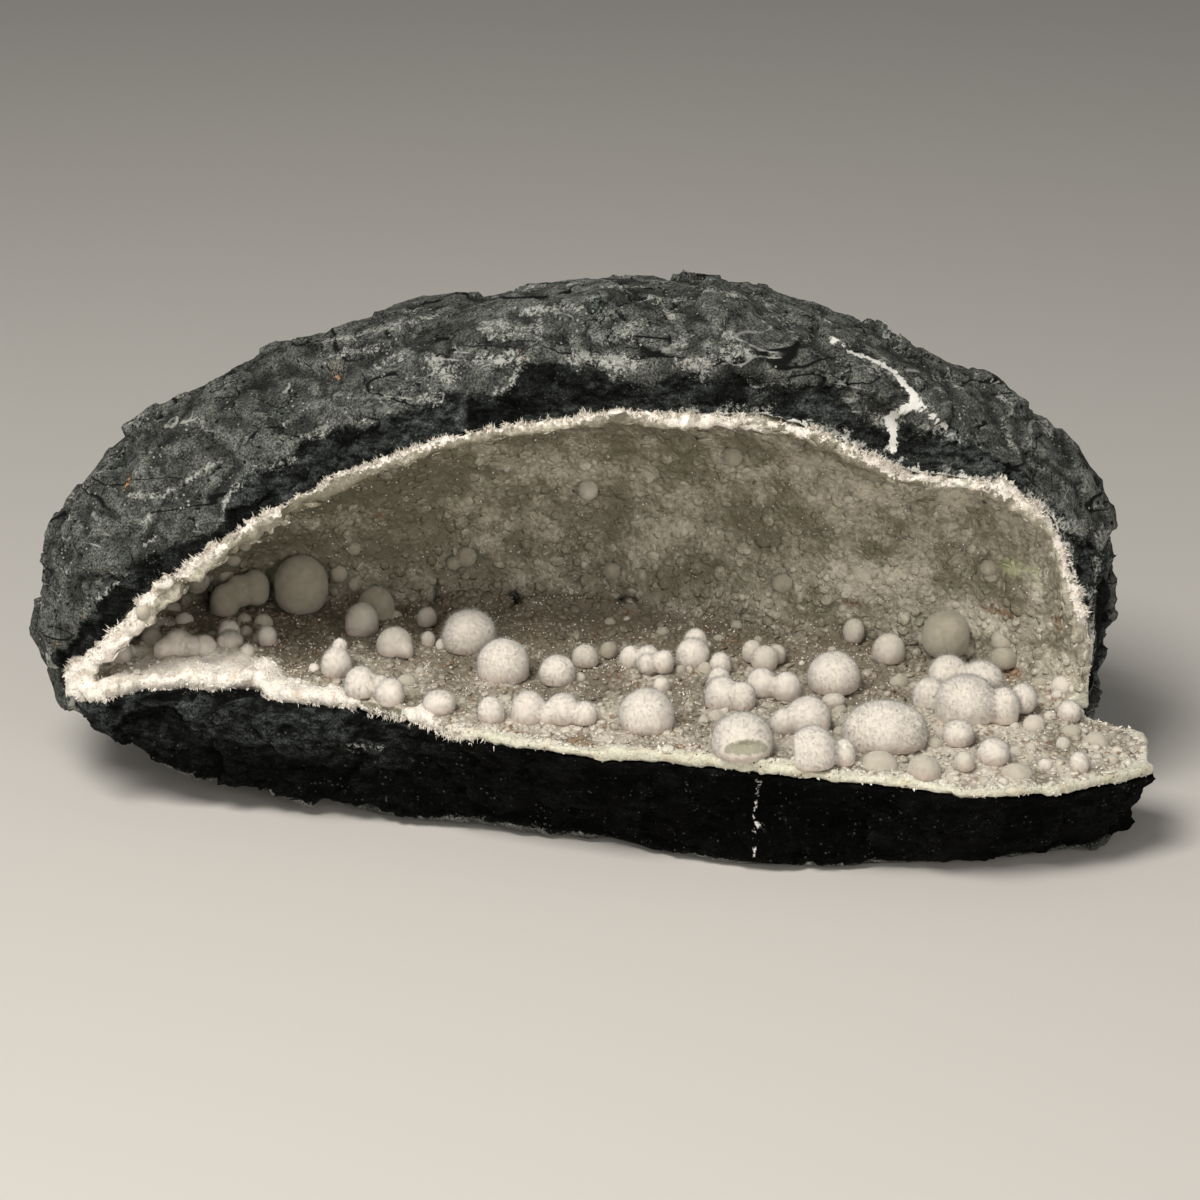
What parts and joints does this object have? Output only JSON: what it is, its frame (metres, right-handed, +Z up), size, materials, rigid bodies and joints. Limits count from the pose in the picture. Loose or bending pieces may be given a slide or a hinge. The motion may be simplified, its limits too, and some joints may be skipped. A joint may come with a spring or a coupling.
{
  "type": "okenite puffball specimen",
  "caption": "Basalt vug broken open at the front, lined by a druzy chalcedony crust, with white fibrous okenite balls grown on its floor and wall.",
  "frame": {"origin": "middle of the bounding box at the height of the flat that the rock rests on", "axes": "+X along the rock's length, -Y out of the open mouth, +Z up"},
  "size_m": [0.368, 0.2036, 0.171],
  "materials": {
    "basalt": "weathered, rough, dark grey with pale zeolite patches; near black where freshly broken",
    "druse": "botryoidal, druzy, pinkish beige, white along its broken rim",
    "okenite": "soft white fibrous balls, matt with a fine fuzz"
  },
  "bodies": {
    "root": {"basalt_matrix": "basalt", "druzy_crust": "druse", "puffball_back_left_large": "okenite", "puffball_back_left_worm": "okenite", "puffball_left_back_round": "okenite", "puffball_left_round": "okenite", "puffball_left_double": "okenite", "puffball_left_mid_back": "okenite", "puffball_left_mid_small": "okenite", "puffball_left_broad": "okenite", "puffball_left_bright": "okenite", "puffball_far_left_pair": "okenite", "puffball_far_left_cluster": "okenite", "puffball_front_left_flat": "okenite", "puffball_front_left_small": "okenite", "puffball_left_edge_cluster": "okenite", "puffball_left_edge_small": "okenite", "puffball_left_edge_fuzzy": "okenite", "puffball_left_corner": "okenite", "puffball_centre_left": "okenite", "puffball_centre_flat": "okenite", "puffball_centre_dim": "okenite", "puffball_centre_cluster": "okenite", "puffball_centre_small": "okenite", "puffball_centre_back": "okenite", "puffball_front_row": "okenite", "puffball_front_centre": "okenite", "puffball_centre_right_small": "okenite", "puffball_centre_right_cluster": "okenite", "puffball_centre_right_pair": "okenite", "puffball_centre_far_trio": "okenite", "puffball_front_broken": "okenite", "puffball_front_right_twin": "okenite", "puffball_front_right_split": "okenite", "puffball_centre_flake": "okenite", "puffball_right_large": "okenite", "puffball_right_far_small": "okenite", "puffball_right_far": "okenite", "puffball_right_far_large": "okenite", "puffball_right_cluster": "okenite", "puffball_right_oval": "okenite", "puffball_right_dim": "okenite", "puffball_right_dim_low": "okenite", "puffball_right_front": "okenite", "puffball_right_front_low": "okenite", "puffball_right_front_small": "okenite", "puffball_front_right_grey": "okenite", "puffball_right_edge_flat": "okenite", "puffball_right_edge_small": "okenite", "puffball_wall_middle": "okenite", "puffball_wall_low": "okenite", "puffball_wall_left_pair": "okenite", "puffball_wall_high_disc": "okenite", "puffball_wall_right_disc": "okenite", "puffball_wall_far_right": "okenite", "puffball_left_wall": "okenite", "puffball_roof_left": "okenite"}
  },
  "joints": []
}
